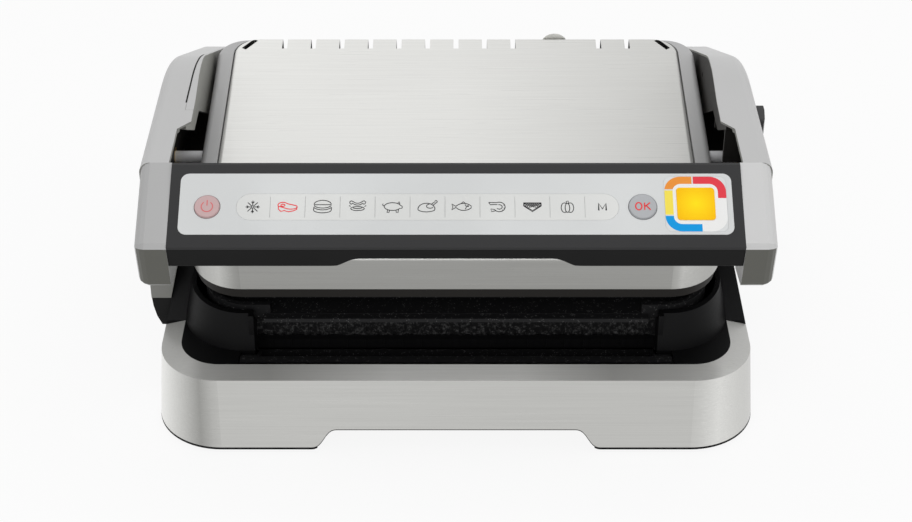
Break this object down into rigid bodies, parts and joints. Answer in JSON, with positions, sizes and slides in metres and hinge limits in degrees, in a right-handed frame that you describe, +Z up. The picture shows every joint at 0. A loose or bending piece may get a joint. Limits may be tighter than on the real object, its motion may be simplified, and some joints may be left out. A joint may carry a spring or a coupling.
{
  "type": "electric contact grill",
  "caption": "Electric contact grill with lid: ridged plates, floating upper plate on stub axles between two arms, sloping control panel in the handle bar and a front drip tray.",
  "frame": {"origin": "on the table plane under the middle of the grill's bounding box", "axes": "+Z up, +X towards the grill's right-hand side seen from the front, +Y towards the hinge at the back; the handle faces -Y"},
  "size_m": [0.384, 0.33, 0.1835],
  "materials": {
    "steel": "brushed steel, satin",
    "light_plastic": "light warm grey, satin",
    "panel_plastic": "light cool grey panel, satin",
    "charcoal_plastic": "charcoal, fine grain",
    "black_plastic": "black, matt",
    "plate_coating": "black speckled non-stick coating",
    "rubber": "black rubber",
    "chrome": "polished",
    "brass": "sintered bush",
    "bare_steel": "plain steel",
    "heater_sheath": "oxidised sheath",
    "board": "circuit board",
    "ring_print": "printed colour scale",
    "lens_yellow": "lit window"
  },
  "bodies": {
    "base": {"base_tub": "black_plastic", "base_skirt": "steel", "base_top": "black_plastic", "bottom_cover": "black_plastic", "feet": "rubber", "bottom_screws": "bare_steel", "lower_plate": "plate_coating", "lower_plate_clips": "bare_steel", "lower_heater": "heater_sheath", "lower_reflector": "bare_steel", "lower_probe": "bare_steel", "power_board": "board", "cord_gland": "black_plastic", "hinge_bracket_left": "black_plastic", "hinge_bracket_right": "black_plastic", "hinge_pin_left": "chrome", "hinge_pin_right": "chrome", "bracket_screws": "bare_steel", "side_foot_bracket": "light_plastic", "side_foot_pad": "rubber"},
    "drip_tray_body": {"drip_tray": "plate_coating"},
    "arms": {"arm_shell_left": "light_plastic", "arm_shell_right": "light_plastic", "arm_frame_left": "black_plastic", "arm_frame_right": "black_plastic", "arm_cover_left": "light_plastic", "end_cap_left": "light_plastic", "end_cap_right": "light_plastic", "hinge_bush_left": "brass", "hinge_bush_right": "brass", "rod_bush_left": "brass", "rod_bush_right": "brass", "handle_shell": "charcoal_plastic", "handle_grip": "charcoal_plastic", "control_panel": "panel_plastic", "key_strip": "panel_plastic", "indicator_ring": "ring_print", "indicator_lens": "lens_yellow", "control_board": "board"},
    "power_button_body": {"power_button": "panel_plastic"},
    "ok_button_body": {"ok_button": "panel_plastic"},
    "release_button_body": {"release_button": "charcoal_plastic"},
    "head": {"head_cover": "steel", "head_rim_left": "light_plastic", "head_rim_right": "light_plastic", "head_frame": "black_plastic", "rod_left": "chrome", "rod_right": "chrome", "upper_heater": "heater_sheath", "upper_reflector": "bare_steel", "upper_plate": "plate_coating", "upper_plate_clips": "bare_steel", "upper_probe": "bare_steel", "head_screws": "bare_steel", "rear_dome": "steel"}
  },
  "joints": [
    {"name": "lid_hinge", "type": "hinge", "parent": "base", "child": "arms", "pos_m": [0, 0.14, 0.1006], "axis": [-1, 0, 0], "range_deg": [0, 180]},
    {"name": "head_float", "type": "hinge", "parent": "arms", "child": "head", "pos_m": [0, -0.02195, 0.13053], "axis": [1, 0, 0], "range_deg": [-2.5, 3]},
    {"name": "power_press", "type": "slide", "parent": "arms", "child": "power_button_body", "axis": [0, 0.5, -0.866], "range_m": [0, 0.001], "stiffness_N_per_m": 1500, "springref_m": -0.001},
    {"name": "ok_press", "type": "slide", "parent": "arms", "child": "ok_button_body", "axis": [0, 0.5, -0.866], "range_m": [0, 0.001], "stiffness_N_per_m": 1500, "springref_m": -0.001},
    {"name": "release_press", "type": "slide", "parent": "arms", "child": "release_button_body", "axis": [-1, 0, 0], "range_m": [0, 0.003], "stiffness_N_per_m": 800, "springref_m": -0.002},
    {"name": "drip_tray_slide", "type": "slide", "parent": "base", "child": "drip_tray_body", "axis": [0, -0.7071, 0.7071], "range_m": [0, 0.07]}
  ]
}
